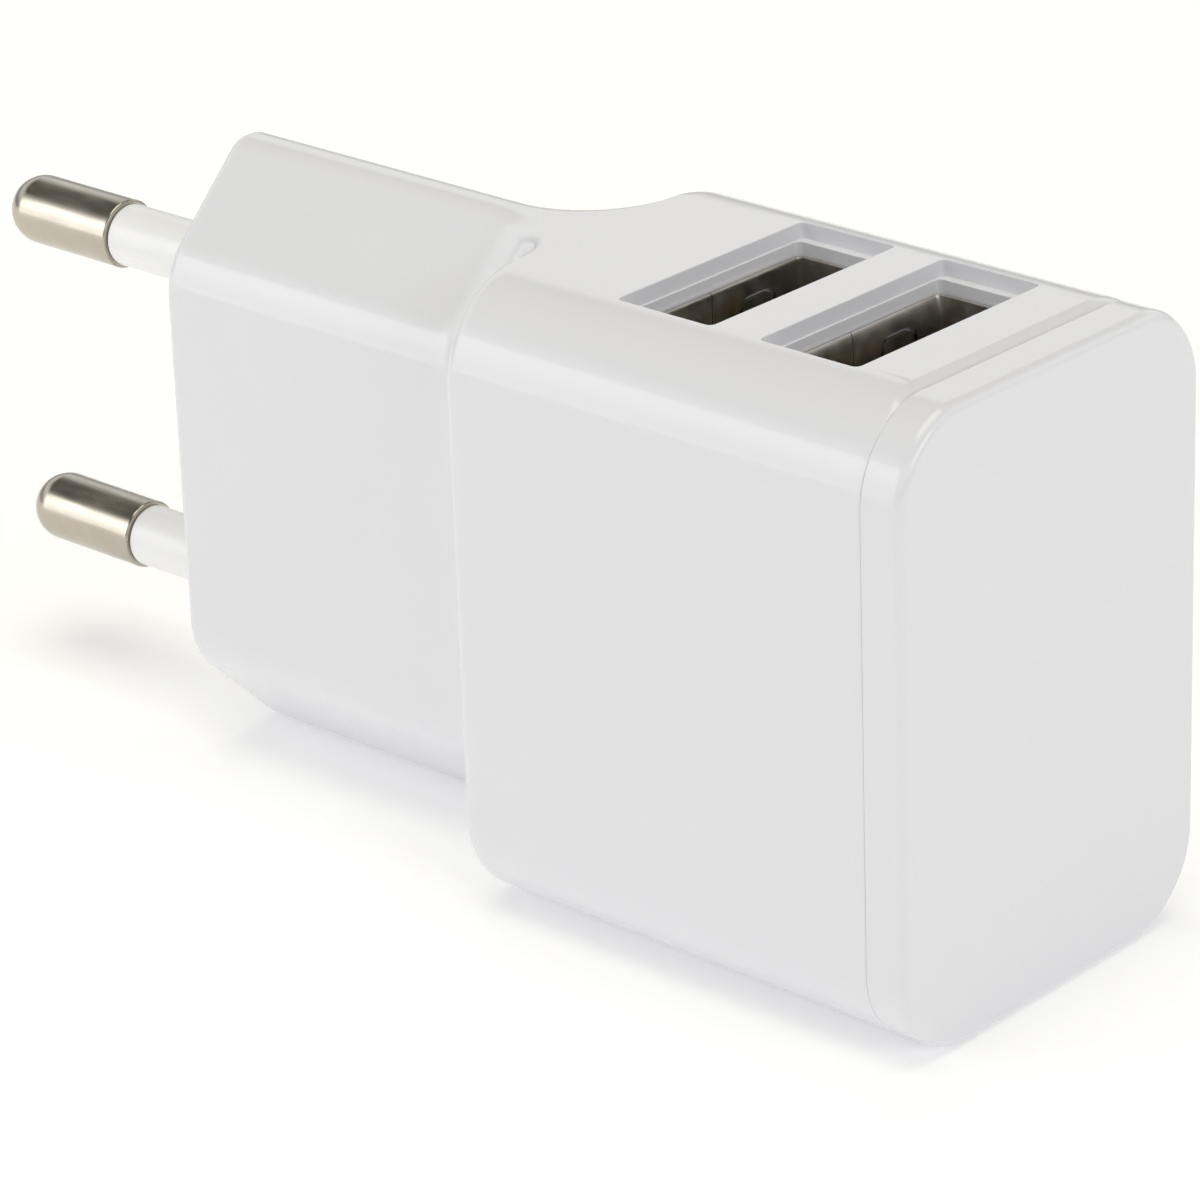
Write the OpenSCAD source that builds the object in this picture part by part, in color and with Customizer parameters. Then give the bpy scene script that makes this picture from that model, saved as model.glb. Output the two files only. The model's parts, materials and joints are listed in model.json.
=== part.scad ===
// Two-port USB wall charger with a flat two-pin mains plug.
// The origin is on the plug face, midway between the pins. The pins point to -X,
// the ports open upwards to +Z and the end cap closes the case at +X.

/* [Plug] */
// Distance between the two pin axes
pin_pitch = 18.6; // [18:0.1:19.2]
// Diameter of the bare metal tip of a pin
pin_d = 4.0; // [3.8:0.1:4.2]
// How far a pin stands out of the plug face
pin_len = 19; // [18:0.5:20]
// Length of the insulating sleeve outside the plug face
sleeve_len = 10; // [8:0.5:11]
// Outer diameter of the sleeve
sleeve_d = 3.6; // [3.4:0.05:3.7]

/* [Case] */
// Width of the flat neck that enters a wall socket
neck_w = 13.7; // [13.4:0.1:14.5]
// Length of the neck, from the plug face to the back wall of the body
neck_len = 26.3; // [24:0.1:28]
// Height of the sides of the neck between its slanted corner faces
neck_flat_h = 23; // [22.8:0.1:24]
// Height of the neck and of the body
case_h = 35; // [34.5:0.1:35.4]
// Width of the body
body_w = 24; // [23:0.1:26]
// Radius of the long edges of the body
body_r = 5; // [4:0.1:5.6]
// Place of the seam between the housing and the end cap
seam_x = 54; // [53.6:0.1:55]
// Place of the outer end of the cap
end_x = 56.5; // [56.3:0.1:58]
// Thickness of the case walls
wall = 1.6; // [1.4:0.05:1.7]

/* [Ports] */
// Place of the first port's centre
port_x = 37.45; // [37:0.05:38]
// Distance between the centres of the ports
port_pitch = 9.4; // [9.3:0.1:9.6]
// Depth of the metal shells below the top face
shell_drop = 1.55; // [1.2:0.05:1.8]

/* [Hidden] */
$fn = 48;

// Colours
white = [0.90, 0.90, 0.91];
ivory = [0.86, 0.85, 0.80];
nickel = [0.72, 0.69, 0.63];
steel = [0.45, 0.43, 0.40];
brass = [0.85, 0.68, 0.35];
tin = [0.75, 0.76, 0.78];
board_green = [0.10, 0.38, 0.20];
can_blue = [0.10, 0.12, 0.20];
chip_black = [0.12, 0.12, 0.13];

// ---- Case outline -------------------------------------------------------------------
// A quarter of an outline is two arcs of 45 degrees: [y1, z1, r1, y2, z2, r2], the centre
// and radius of the arc next to the side and of the arc next to the top.
ARC_STEP = 11.25;
half_h = case_h / 2;
neck_side_r = 4.4;
neck_top_r = min(1.8, 2.2 * (neck_w - case_h + neck_flat_h) / 2);
body_corner_flat = 0.12;

function octagon_arcs(w, h, flat_h, r_side, r_top) =
    let (t = w - (h - flat_h), k = tan(22.5))
    [w - r_side, flat_h - r_side * k, r_side, t - r_top * k, h - r_top, r_top];
function box_arcs(w, h, r) =
    [w - r, h - r - body_corner_flat, r, w - r - body_corner_flat, h - r, r];
function quarter(a) = concat(
    [for (t = [0:ARC_STEP:45]) [a[0] + a[2] * cos(t), a[1] + a[2] * sin(t)]],
    [for (t = [45:ARC_STEP:90]) [a[3] + a[5] * cos(t), a[4] + a[5] * sin(t)]]);
function reversed(v) = [for (i = [len(v) - 1:-1:0]) v[i]];
function outline(a) =
    let (q = quarter(a), back = reversed(q))
    concat(q, [for (p = back) [-p[0], p[1]]], [for (p = q) [-p[0], -p[1]]], [for (p = back) [p[0], -p[1]]]);
function shrunk(a, d) = [a[0], a[1], a[2] - d, a[3], a[4], a[5] - d];
function mix(a, b, s) = a + s * (b - a);

// A closed skin through a list of stations [x, arcs]
module skin(stations) {
    rings = [for (s = stations) [for (p = outline(s[1])) [s[0], p[0], p[1]]]];
    n = len(rings[0]);
    last = len(rings) - 1;
    points = [for (r = rings) for (p = r) p];
    sides = [for (k = [0:last - 1]) for (i = [0:n - 1])
        let (j = (i + 1) % n, a = k * n + i, b = k * n + j, c = a + n, d = b + n)
        each [[a, c, b], [b, c, d]]];
    ends = [[for (i = [0:n - 1]) i], [for (i = [n - 1:-1:0]) last * n + i]];
    polyhedron(points = points, faces = concat(sides, ends), convexity = 6);
}

// The neck flares into the body: a concave quarter turn, then a small convex one
flare_r = 6;
flare_share = 0.88;
flare_edge = 0.9;
function flare(x0, arcs_a, arcs_b) = concat(
    [for (t = [0:15:90]) [x0 - flare_r + flare_r * sin(t), mix(arcs_a, arcs_b, flare_share * (1 - cos(t)))]],
    [for (t = [30:30:90]) [x0 + flare_edge * (1 - cos(t)),
        mix(arcs_a, arcs_b, flare_share + (1 - flare_share) * sin(t))]]);

neck_arcs = octagon_arcs(neck_w / 2, half_h, neck_flat_h / 2, neck_side_r, neck_top_r);
body_arcs = box_arcs(body_w / 2, half_h, body_r);
inner_w = body_w / 2 - wall;
inner_h = half_h - wall;
ridge_wall = 0.5;
inner_neck_arcs = octagon_arcs(neck_w / 2 - wall, inner_h - ridge_wall, neck_flat_h / 2 - wall * tan(22.5),
    neck_side_r - wall, 0.3);
inner_body_arcs = box_arcs(inner_w, inner_h, body_r - wall);

// ---- Plug ---------------------------------------------------------------------------
face_edge_r = 0.8;
plug_wall = 2.0;
pin_z = pin_pitch / 2;
shank_r = 1.45;
sleeve_bore_r = 1.47;
pin_tail_x = 7.4;
flange_r = 2.5;
flange_t = 1.0;

retainer_t = 1.6;
pin_gap = 0.03;
rim_bevel = 0.15;
sleeve_bevel = 0.3;
wire_r = 0.6;
wire_bend_x = 9.8;
shoulder_wall = 1.3;

// ---- End cap ------------------------------------------------------------------------
cap_edge_r = 0.6;
skirt_len = 2.8;
skirt_t = 1.2;
skirt_gap = 0.1;

// ---- Ports --------------------------------------------------------------------------
shell_x = 5.7;
shell_y = 13.1;
shell_t = 0.3;
shell_top = half_h - shell_drop;
recess_x = 6.1;
recess_y = 14.3;
recess_d = 0.85;
hole_gap = 0.1;
collar_bottom = 14.2;
usb_board_top = 2.8;
usb_board_t = 1.6;
tongue_t = 1.84;
tongue_w = 11.1;
tongue_face = 0.07;
tongue_top = 15.0;
tongue_rim = 0.4;
base_top = 5.6;
contact_w = 1.0;
contact_t = 0.25;
contact_y = [-3.5, -1, 1, 3.5];
contact_slot = 1.3;
hinge_z = 6.2;
hinge_gap = 0.2;
hinge_dx = 0.6;
slot_depth = 0.95;
crown_out = 0.4;
crown_z = 6.2;
crown_h = 0.5;
tip_dx = 0.25;
tip_z = 8.1;
terminal_t = 0.3;
terminal_w = 0.8;
terminal_bottom = 0.5;
terminal_clear = 0.05;
shell_leg_y = 4.6;
shell_leg_w = 1.2;
collar_t = 1.2;
collar_y = 16.4;
finger_y = 3.1;
finger_w = 1.3;
finger_cut = 0.35;
finger_root = 7.2;
finger_top = 13.6;
function port_centre(i) = port_x + (i - 1) * port_pitch;

// ---- Boards -------------------------------------------------------------------------
// The main board stands beside the middle plane; a board is [x0, x1, z0, z1]
board_y0 = 3.4;
board_t = 1.6;
board_y1 = board_y0 + board_t;
neck_board = [8.6, 29, -10.2, 10.2];
body_board = [28.2, 51, -15.4, -0.4];
usb_board_x0 = 31.4;
usb_board_w = 19.8;
rail_t = 0.7;
rail_h = 0.9;
rail_gap = 0.1;
rail_reach = 1.0;
rail_x0 = 33;
rail_x1 = 50.5;
header_x = 45.4;
header_pitch = 1.27;
header_t = 2.1;
header_h = 1.2;
header_z = -0.6;
header_pin_r = 0.32;
sheet_z = -1.0;
sheet_t = 0.3;
sheet_gap = 0.4;

// ---- Transformer and cans -----------------------------------------------------------
former_x0 = 31.2;
former_x1 = 44.2;
former_y = -2.1;
former_z = -8;
core_y = 5.6;
core_z = 12.6;
leg_z = 3.8;
window_z = 2.7;
back_x = 2.2;
bobbin_t = 0.4;
bore_y = core_y + 0.1;
bore_z = leg_z + 0.1;
coil_gap = 0.04;
foot_half_z = 4;
flange_x = 0.6;
flange_out = 2.3;
foot_y = 3.1;
coil_x0 = former_x0 + back_x + 0.7;
coil_x1 = former_x1 - back_x - 0.7;
coil_t = 1.6;
tape_t = 0.2;
former_pin_r = 0.3;
former_pins = [for (x = [former_x0 + back_x + 0.35, former_x1 - back_x - 0.35], dz = [-3, 0, 3])
    [x, former_z + dz]];
can_y = -1.3;
can_r = 3.1;
can_z = [1.1, 11.3];
can_lead_z = 0.6;
input_lead_dx = 1.25;
input_can_x = 14;
output_can_x = 47.6;
output_can_y = -6.1;
output_can_r = 2.9;
output_can_z = [-11.6, -5.2];
output_can_gap = 0.2;
output_lead_dx = 1;
lead_r = 0.28;
disc_pos = [27.2, 1.0, 4.2];
disc_r = 3.2;
disc_t = 2.4;
disc_lead_dx = 1.1;
fuse_pos = [19.4, 0.8, -6.3];
fuse_len = 7;
fuse_r = 1.5;
fuse_knee = 0.7;
choke_pos = [20.8, -3.0, 6.2];
choke_r = 2.7;
choke_core_r = 2.1;
choke_flange_t = 0.8;
bridge_size = [4.7, 2.4, 3.9];
bridge_pos = [24.6, board_y0 - bridge_size[1], -6.2];
switch_size = [4.9, 1.5, 3.9];
switch_pos = [37.7, board_y1, -6.5];
opto_size = [4.6, 3.2, 6.2];
opto_pos = [45.6, board_y1, -6.4];
diode_size = [4.4, 2.3, 3.6];
diode_pos = [37.7, board_y1, -12.2];
leg_w = 0.4;
leg_len = 1;
leg_out = 0.4;
chip_size = [1.6, 0.5, 0.8];
main_chips = [for (k = [0:5]) [30.2 + 2.2 * k, board_y1, -3.4]];
port_chips = [for (k = [0:3], y = [-8.8, 8.0]) [33.4 + 3 * k, y, usb_board_top]];

module block(x0, x1, y0, y1, z0, z1) {
    translate([x0, y0, z0]) cube([x1 - x0, y1 - y0, z1 - z0]);
}
module port_hole(i, wx, wy, z0, z1) {
    block(port_centre(i) - wx / 2, port_centre(i) + wx / 2, -wy / 2, wy / 2, z0, z1);
}

// Extrudes one outline along X
module prism(arcs, x0, x1) {
    translate([x0, 0, 0]) rotate([90, 0, 90]) linear_extrude(x1 - x0) polygon(outline(arcs));
}
// A round bar between two points on a line along one axis
module bar(from, to, r) {
    d = to - from;
    along_y = [-90 * sign(d[1]), 0, 0];
    along_z = [d[2] < 0 ? 180 : 0, 0, 0];
    turn = d[0] != 0 ? [0, 90 * sign(d[0]), 0] : d[1] != 0 ? along_y : along_z;
    translate(from) rotate(turn) cylinder(r = r, h = norm(d));
}
// A bent lead or wire through a list of points
module bent(points, r) {
    for (i = [1:len(points) - 1]) bar(points[i - 1], points[i], r);
    for (i = [1:len(points) - 2]) translate(points[i]) sphere(r = r);
}

// ---- Case ---------------------------------------------------------------------------
module case_skin() {
    skin(concat(
        [for (t = [0:30:90]) [face_edge_r * (1 - cos(t)), shrunk(neck_arcs, face_edge_r * (1 - sin(t)))]],
        flare(neck_len, neck_arcs, body_arcs),
        [[seam_x, body_arcs]]));
}
module cavity_skin() {
    skin(concat(
        [[plug_wall, inner_neck_arcs]],
        flare(neck_len + shoulder_wall, inner_neck_arcs, inner_body_arcs),
        [[seam_x + 1, inner_body_arcs]]));
}
module port_collar() {
    block(port_centre(1) - shell_x / 2 - collar_t, port_centre(2) + shell_x / 2 + collar_t,
        -collar_y / 2, collar_y / 2, collar_bottom, inner_h + 0.3);
}
module board_rails() {
    for (y = [board_y0 - rail_gap - rail_t, board_y1 + rail_gap])
        block(rail_x0, rail_x1, y, y + rail_t, -inner_h - 0.1, -inner_h + rail_h);
    for (side = [-1, 1], z = [usb_board_top - usb_board_t - rail_gap - rail_t, usb_board_top + rail_gap])
        translate([rail_x0, side * inner_w - (side > 0 ? rail_reach : 0.1), z])
            cube([rail_x1 - rail_x0, rail_reach + 0.1, rail_t]);
}
module housing() {
    color(white) difference() {
        union() {
            difference() {
                case_skin();
                cavity_skin();
            }
            port_collar();
            board_rails();
        }
        for (i = [1, 2]) {
            port_hole(i, shell_x + 2 * hole_gap, shell_y + 2 * hole_gap, collar_bottom - 1, half_h);
            port_hole(i, recess_x, recess_y, half_h - recess_d, half_h + 1);
        }
        for (z = [-pin_z, pin_z])
            bar([-1, 0, z], [plug_wall + 1, 0, z], sleeve_d / 2 + pin_gap);
    }
}
module end_cap() {
    color(white) difference() {
        union() {
            skin(concat(
                [[seam_x, body_arcs], [end_x - cap_edge_r, body_arcs]],
                [for (t = [30:30:90]) [end_x - cap_edge_r * (1 - sin(t)),
                    shrunk(body_arcs, cap_edge_r * (1 - cos(t)))]]));
            prism(shrunk(inner_body_arcs, skirt_gap), seam_x - skirt_len, seam_x + 0.2);
        }
        prism(shrunk(inner_body_arcs, skirt_gap + skirt_t), seam_x - skirt_len - 1, end_x - wall);
    }
}

// ---- Pins ---------------------------------------------------------------------------
module pin(z) {
    color(nickel) {
        translate([pin_d / 2 - pin_len, 0, z]) sphere(r = pin_d / 2);
        bar([pin_d / 2 - pin_len, 0, z], [-sleeve_len - rim_bevel, 0, z], pin_d / 2);
        translate([-sleeve_len - rim_bevel, 0, z]) rotate([0, 90, 0])
            cylinder(r1 = pin_d / 2, r2 = pin_d / 2 - rim_bevel, h = rim_bevel);
        bar([-sleeve_len - rim_bevel, 0, z], [pin_tail_x, 0, z], shank_r);
        bar([plug_wall, 0, z], [plug_wall + flange_t, 0, z], flange_r);
    }
}
module sleeve(z) {
    color(white) difference() {
        union() {
            translate([-sleeve_len, 0, z]) rotate([0, 90, 0])
                cylinder(r1 = sleeve_d / 2 - sleeve_bevel, r2 = sleeve_d / 2, h = sleeve_bevel);
            bar([sleeve_bevel - sleeve_len, 0, z], [plug_wall, 0, z], sleeve_d / 2);
        }
        bar([-sleeve_len - 1, 0, z], [plug_wall + 1, 0, z], sleeve_bore_r);
    }
}
module pin_upper() { pin(pin_z); }
module pin_lower() { pin(-pin_z); }
module sleeve_upper() { sleeve(pin_z); }
module sleeve_lower() { sleeve(-pin_z); }
module pin_retainer() {
    x0 = plug_wall + flange_t;
    color(ivory) difference() {
        prism(shrunk(inner_neck_arcs, 0.15), x0, x0 + retainer_t);
        for (z = [-pin_z, pin_z])
            bar([x0 - 1, 0, z], [x0 + retainer_t + 1, 0, z], shank_r + pin_gap);
    }
}
module mains_wire(z) {
    bent([[pin_tail_x, 0, z], [wire_bend_x, 0, z], [wire_bend_x, board_y0, z]], wire_r);
}
module live_wire() { color("sienna") mains_wire(pin_z); }
module neutral_wire() { color("steelblue") mains_wire(-pin_z); }

// ---- Boards -------------------------------------------------------------------------
module main_board() {
    color(board_green) difference() {
        union() {
            block(neck_board[0], neck_board[1], board_y0, board_y1, neck_board[2], neck_board[3]);
            block(body_board[0], body_board[1], board_y0, board_y1, body_board[2], body_board[3]);
        }
        for (p = former_pins)
            bar([p[0], board_y0 - 1, p[1]], [p[0], board_y1 + 1, p[1]], former_pin_r + 0.05);
    }
}
module usb_board() {
    color(board_green) difference() {
        block(usb_board_x0, body_board[1], -usb_board_w / 2, usb_board_w / 2,
            usb_board_top - usb_board_t, usb_board_top);
        for (i = [1, 2]) {
            for (k = [0:3]) terminal_strip(i, k, terminal_clear);
            shell_legs(i, terminal_clear);
        }
    }
}
module board_header() {
    mid_y = board_y0 - header_t / 2;
    usb_board_bottom = usb_board_top - usb_board_t;
    color(chip_black) translate([header_x, board_y0 - header_t, header_z - header_h])
        cube([4 * header_pitch, header_t, header_h]);
    color(tin) for (k = [0:3])
        let (x = header_x + (k + 0.5) * header_pitch)
            bar([x, mid_y, header_z], [x, mid_y, usb_board_bottom], header_pin_r);
}
module insulation_sheet() {
    color("khaki") block(usb_board_x0, former_x1 + sheet_gap, -usb_board_w / 2, board_y0 - sheet_gap,
        sheet_z, sheet_z + sheet_t);
}

// ---- Ports --------------------------------------------------------------------------
module terminal_strip(i, k, clear) {
    height = hinge_z - hinge_gap - terminal_bottom;
    translate([port_centre(i) + hinge_dx - terminal_t / 2 - clear, contact_y[k] - terminal_w / 2 - clear,
        terminal_bottom - clear])
        cube([terminal_t + 2 * clear, terminal_w + 2 * clear, height + clear]);
}
module shell_legs(i, clear) {
    size = [shell_t, shell_leg_w, usb_board_top - terminal_bottom] + 2 * clear * [1, 1, 1];
    for (sx = [-1, 1], sy = [-1, 1])
        translate([port_centre(i) + sx * (shell_x - shell_t) / 2, sy * shell_leg_y, terminal_bottom - clear])
            translate([-size[0] / 2, -size[1] / 2, 0]) cube(size);
}
// The U-shaped gap round a spring finger, through both wide walls of a shell
module finger_gap(y) {
    slot_r = finger_w / 2 + finger_cut;
    difference() {
        union() {
            bar([-shell_x, y, finger_top - slot_r], [shell_x, y, finger_top - slot_r], slot_r);
            block(-shell_x, shell_x, y - slot_r, y + slot_r, finger_root, finger_top - slot_r);
        }
        bar([-shell_x, y, finger_top - slot_r], [shell_x, y, finger_top - slot_r], finger_w / 2);
        block(-shell_x, shell_x, y - finger_w / 2, y + finger_w / 2, finger_root - 1, finger_top - slot_r);
    }
}
module port_shell(i) {
    color(steel) {
        difference() {
            port_hole(i, shell_x, shell_y, usb_board_top, shell_top);
            port_hole(i, shell_x - 2 * shell_t, shell_y - 2 * shell_t, usb_board_top - 1, shell_top + 1);
            for (y = [-finger_y, finger_y]) translate([port_centre(i), 0, 0]) finger_gap(y);
        }
        shell_legs(i, 0);
    }
}
module port_insulator(i) {
    base_x = shell_x - 2 * shell_t - 0.1;
    base_y = shell_y - 2 * shell_t - 0.1;
    face = port_centre(i) + tongue_face;
    color(chip_black) difference() {
        union() {
            port_hole(i, base_x, base_y, usb_board_top, base_top);
            block(face, face + tongue_t, -tongue_w / 2, tongue_w / 2, base_top - 0.1, tongue_top);
        }
        for (y = contact_y)
            block(face - 1, face + slot_depth, y - contact_slot / 2, y + contact_slot / 2,
                hinge_z - 0.3, tongue_top - tongue_rim);
        for (k = [0:3]) terminal_strip(i, k, terminal_clear);
    }
}
// One spring blade of port i: it bows out of the tongue's face and rocks about its root
module contact(i, k) {
    color(brass) translate([port_centre(i), contact_y[k] + contact_w / 2, hinge_z]) rotate([90, 0, 0])
        linear_extrude(contact_w) polygon([
            [hinge_dx - contact_t / 2, 0], [-crown_out, crown_z], [-crown_out, crown_z + crown_h],
            [tip_dx, tip_z], [tip_dx + contact_t, tip_z], [contact_t - crown_out, crown_z + crown_h],
            [contact_t - crown_out, crown_z], [hinge_dx + contact_t / 2, 0]]);
}
module terminal(i, k) { color(brass) terminal_strip(i, k, 0); }
module port_shell_1() { port_shell(1); }
module port_shell_2() { port_shell(2); }
module port_insulator_1() { port_insulator(1); }
module port_insulator_2() { port_insulator(2); }

// ---- Transformer --------------------------------------------------------------------
// Everything is centred on the winding's axis, which runs along X at [former_y, former_z]
module former_block(x0, x1, wy, wz) {
    block(x0, x1, former_y - wy / 2, former_y + wy / 2, former_z - wz / 2, former_z + wz / 2);
}
module former_ring(x0, x1, wy, wz, thick) {
    difference() {
        former_block(x0, x1, wy + 2 * thick, wz + 2 * thick);
        former_block(x0 - 1, x1 + 1, wy, wz);
    }
}
module transformer_core() {
    color("dimgray") difference() {
        former_block(former_x0, former_x1, core_y, core_z);
        for (s = [-1, 1])
            translate([0, 0, s * (leg_z + window_z) / 2])
                former_block(former_x0 + back_x, former_x1 - back_x, core_y + 2, window_z);
    }
}
module transformer_bobbin() {
    x0 = former_x0 + back_x + 0.05;
    x1 = former_x1 - back_x - 0.05;
    color(ivory) {
        former_ring(x0, x1, bore_y, bore_z, bobbin_t);
        for (x = [x0, x1 - flange_x]) {
            former_ring(x, x + flange_x, bore_y, bore_z, flange_out);
            block(x, x + flange_x, former_y + core_y / 2 + flange_out - 0.1, foot_y,
                former_z - foot_half_z, former_z + foot_half_z);
        }
    }
}
module transformer_winding() {
    gap = 2 * bobbin_t + coil_gap;
    color("darkgoldenrod") former_ring(coil_x0, coil_x1, bore_y + gap, bore_z + gap, coil_t);
}
module transformer_tape() {
    gap = 2 * bobbin_t + 2 * coil_t + 2 * coil_gap;
    color("gold") former_ring(coil_x0, coil_x1, bore_y + gap, bore_z + gap, tape_t);
}
module transformer_pins() {
    color(tin) for (p = former_pins) bar([p[0], foot_y, p[1]], [p[0], board_y1 + 0.7, p[1]], former_pin_r);
}

// ---- Components on the boards -------------------------------------------------------
// A can along Z with its two leads bent over to the board
module lying_can(x, z0, z1, lead_z) {
    color(can_blue) bar([x, can_y, z0], [x, can_y, z1], can_r);
    end = lead_z > z1 ? z1 : z0;
    color(tin) for (dx = [-input_lead_dx, input_lead_dx])
        bent([[x + dx, can_y, end], [x + dx, can_y, lead_z], [x + dx, board_y0, lead_z]], lead_r);
}
module input_capacitor_1() { lying_can(input_can_x, can_z[0], can_z[1], can_lead_z); }
module input_capacitor_2() { lying_can(input_can_x, -can_z[1], -can_z[0], -can_lead_z); }
module output_can(z) {
    foot_y = board_y0 - output_can_gap;
    color(can_blue) bar([output_can_x, foot_y, z], [output_can_x, output_can_y, z], output_can_r);
    color(tin) for (dx = [-output_lead_dx, output_lead_dx])
        bar([output_can_x + dx, foot_y, z], [output_can_x + dx, board_y0, z], lead_r);
}
module output_capacitor_1() { output_can(output_can_z[0]); }
module output_capacitor_2() { output_can(output_can_z[1]); }
module safety_capacitor() {
    color("royalblue") bar(disc_pos - [0, disc_t, 0], disc_pos, disc_r);
    color(tin) for (dx = [-disc_lead_dx, disc_lead_dx])
        bar(disc_pos + [dx, 0, 0], [disc_pos[0] + dx, board_y0, disc_pos[2]], lead_r);
}
module fuse_resistor() {
    color("mediumseagreen") bar(fuse_pos - [0, 0, fuse_len / 2], fuse_pos + [0, 0, fuse_len / 2], fuse_r);
    color(tin) for (s = [-1, 1]) {
        end = fuse_pos + [0, 0, s * fuse_len / 2];
        knee = end + [0, 0, s * fuse_knee];
        bent([end, knee, [knee[0], board_y0, knee[2]]], lead_r);
    }
}
module filter_choke() {
    top = choke_pos;
    foot = [top[0], board_y0, top[2]];
    color("saddlebrown") {
        bar(top, top + [0, choke_flange_t, 0], choke_r);
        bar(foot - [0, choke_flange_t, 0], foot, choke_r);
        bar(top, foot, choke_core_r);
    }
}
// A moulded package on a board face, with rows of legs on its two long sides
module chip(pos, size, legs) {
    translate(pos) {
        color(chip_black) translate([-size[0] / 2, 0, -size[2] / 2]) cube(size);
        color(tin) for (k = [0:legs - 1], s = [-1, 1])
            translate([(k + 0.5) * size[0] / legs - size[0] / 2, size[1] / 4, s * (size[2] / 2 + leg_out)])
                cube([leg_w, size[1] / 2, leg_len], center = true);
    }
}
module bridge_rectifier() { chip(bridge_pos, bridge_size, 2); }
module switching_chip() { chip(switch_pos, switch_size, 4); }
module optocoupler() { chip(opto_pos, opto_size, 2); }
module output_diode() { chip(diode_pos, diode_size, 1); }
module chip_parts() {
    color("tan") {
        for (p = main_chips) translate(p) cube(chip_size);
        for (p = port_chips) translate(p) cube([chip_size[0], chip_size[2], chip_size[1]]);
    }
}

housing();
end_cap();
pin_upper();
pin_lower();
sleeve_upper();
sleeve_lower();
pin_retainer();
live_wire();
neutral_wire();
main_board();
usb_board();
port_shell_1();
port_shell_2();
port_insulator_1();
port_insulator_2();
contact(1, 0);  // contact_1_a
contact(1, 1);  // contact_1_b
contact(1, 2);  // contact_1_c
contact(1, 3);  // contact_1_d
contact(2, 0);  // contact_2_a
contact(2, 1);  // contact_2_b
contact(2, 2);  // contact_2_c
contact(2, 3);  // contact_2_d
terminal(1, 0);  // terminal_1_a
terminal(1, 1);  // terminal_1_b
terminal(1, 2);  // terminal_1_c
terminal(1, 3);  // terminal_1_d
terminal(2, 0);  // terminal_2_a
terminal(2, 1);  // terminal_2_b
terminal(2, 2);  // terminal_2_c
terminal(2, 3);  // terminal_2_d
transformer_core();
transformer_bobbin();
transformer_winding();
transformer_tape();
transformer_pins();
input_capacitor_1();
input_capacitor_2();
output_capacitor_1();
output_capacitor_2();
safety_capacitor();
fuse_resistor();
filter_choke();
bridge_rectifier();
switching_chip();
optocoupler();
output_diode();
chip_parts();
board_header();
insulation_sheet();
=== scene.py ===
"""Looks for the two-port USB wall charger: smooth moulded skins, plated pins, port shells, studio light.

Lengths are in millimetres until a mesh is made; MM turns them into the frame's metres.
"""

import json
import math

import bmesh
import bpy
from mathutils import Matrix, Vector


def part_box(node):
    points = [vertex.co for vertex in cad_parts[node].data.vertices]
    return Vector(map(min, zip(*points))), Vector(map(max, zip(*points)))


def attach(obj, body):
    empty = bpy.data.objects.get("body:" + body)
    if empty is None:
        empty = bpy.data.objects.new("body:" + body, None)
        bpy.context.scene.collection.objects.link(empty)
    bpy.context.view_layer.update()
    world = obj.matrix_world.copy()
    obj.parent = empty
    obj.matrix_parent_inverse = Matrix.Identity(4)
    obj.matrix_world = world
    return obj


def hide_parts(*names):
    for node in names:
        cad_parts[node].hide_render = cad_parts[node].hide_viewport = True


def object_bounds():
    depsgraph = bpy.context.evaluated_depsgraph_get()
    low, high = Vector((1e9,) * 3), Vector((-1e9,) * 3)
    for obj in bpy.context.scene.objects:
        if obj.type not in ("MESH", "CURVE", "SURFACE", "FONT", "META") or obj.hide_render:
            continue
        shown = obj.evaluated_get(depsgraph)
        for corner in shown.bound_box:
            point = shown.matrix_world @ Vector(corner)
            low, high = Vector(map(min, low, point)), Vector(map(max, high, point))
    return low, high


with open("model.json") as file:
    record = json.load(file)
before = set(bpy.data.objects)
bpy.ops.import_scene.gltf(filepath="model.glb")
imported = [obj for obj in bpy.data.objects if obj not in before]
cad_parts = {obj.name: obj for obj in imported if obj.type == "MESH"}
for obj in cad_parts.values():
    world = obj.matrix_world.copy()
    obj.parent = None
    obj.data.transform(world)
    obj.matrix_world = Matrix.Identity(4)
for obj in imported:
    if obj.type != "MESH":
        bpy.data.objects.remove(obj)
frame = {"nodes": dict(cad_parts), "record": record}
cad_low, cad_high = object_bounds()
MM = 0.001


def box_mm(node):
    """Low and high corner of a CAD node, in millimetres."""
    low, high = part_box(node)
    return Vector(low) / MM, Vector(high) / MM


# ---- Sizes --------------------------------------------------------------------------
housing_high = box_mm("housing")[1]
cap_low, cap_high = box_mm("end_cap")
HALF_H = housing_high.z
HALF_W = housing_high.y
SEAM_X = housing_high.x
END_X = cap_high.x
WALL = 1.6

NECK_HALF_W = 6.85
NECK_FLAT = 11.5
NECK_SIDE_R = 4.4
NECK_TOP_R = 1.8
NECK_LEN = 26.3
BODY_R = 5.0
BODY_CORNER_FLAT = 0.12
FACE_EDGE_R = 0.8
FLARE_R = 6.0
FLARE_SHARE = 0.88
FLARE_EDGE = 0.9
PLUG_WALL = 2.0

# The seam between housing and cap, and how far the tops drop beside it
SEAM_EDGE_R = 0.07
ROLL_LEN = 0.8
ROLL_DROP = 0.6
CAP_DROP = 0.2
CAP_EDGE_R = 0.6
# The drop fades round the upper corners, gone after 1 / TOP_FADE of the corner
TOP_FADE = 1.7
TOP_FADE_POWER = 1.5

# Inside of the case
INNER_FLARE_SHIFT = 1.3
NECK_TOP_EXTRA = 0.5
INNER_NECK_TOP_R = 0.3
SKIRT_OUTER_GAP = 0.1
SKIRT_INNER_GAP = 1.3
SKIRT_LAP = 0.5

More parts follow.
